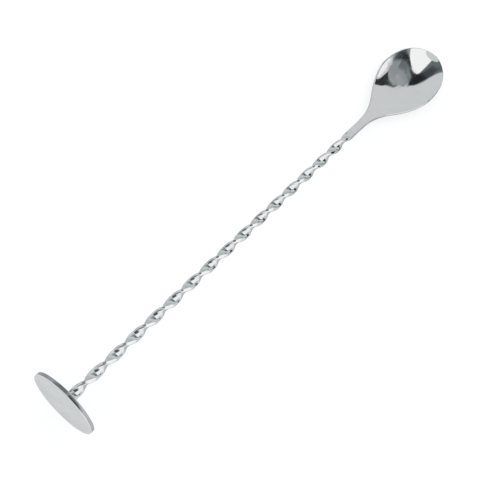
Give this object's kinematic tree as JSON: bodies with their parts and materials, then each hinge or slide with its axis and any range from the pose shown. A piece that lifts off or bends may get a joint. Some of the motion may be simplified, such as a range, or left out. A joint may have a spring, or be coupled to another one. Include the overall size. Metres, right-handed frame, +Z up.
{
  "type": "bar spoon",
  "caption": "Stainless bar spoon: oval bowl on a flat neck, stem twisted from flat strip, thin round disc welded across the far end for muddling and layering.",
  "frame": {"origin": "middle of the bounding box, on the surface that the spoon lies on", "axes": "+X along the spoon from the disc to the bowl's tip, +Z up, the side that the bowl opens to; the stem slopes 2.2 degrees down towards the bowl, because the spoon lies on the disc's lower edge and the bowl's underside"},
  "size_m": [0.2506, 0.0292, 0.0291],
  "materials": {
    "polished_steel": "mirror-polished stainless steel with fine use scratches",
    "stem_steel": "tumble-polished stainless steel strip, brighter on its rounded edges",
    "satin_steel": "satin-ground stainless steel",
    "weld_steel": "brushed-off stainless weld with a faint heat tint"
  },
  "bodies": {
    "root": {"bowl": "polished_steel", "twisted_stem": "stem_steel", "muddler_disc": "satin_steel", "disc_weld": "weld_steel"}
  },
  "joints": []
}
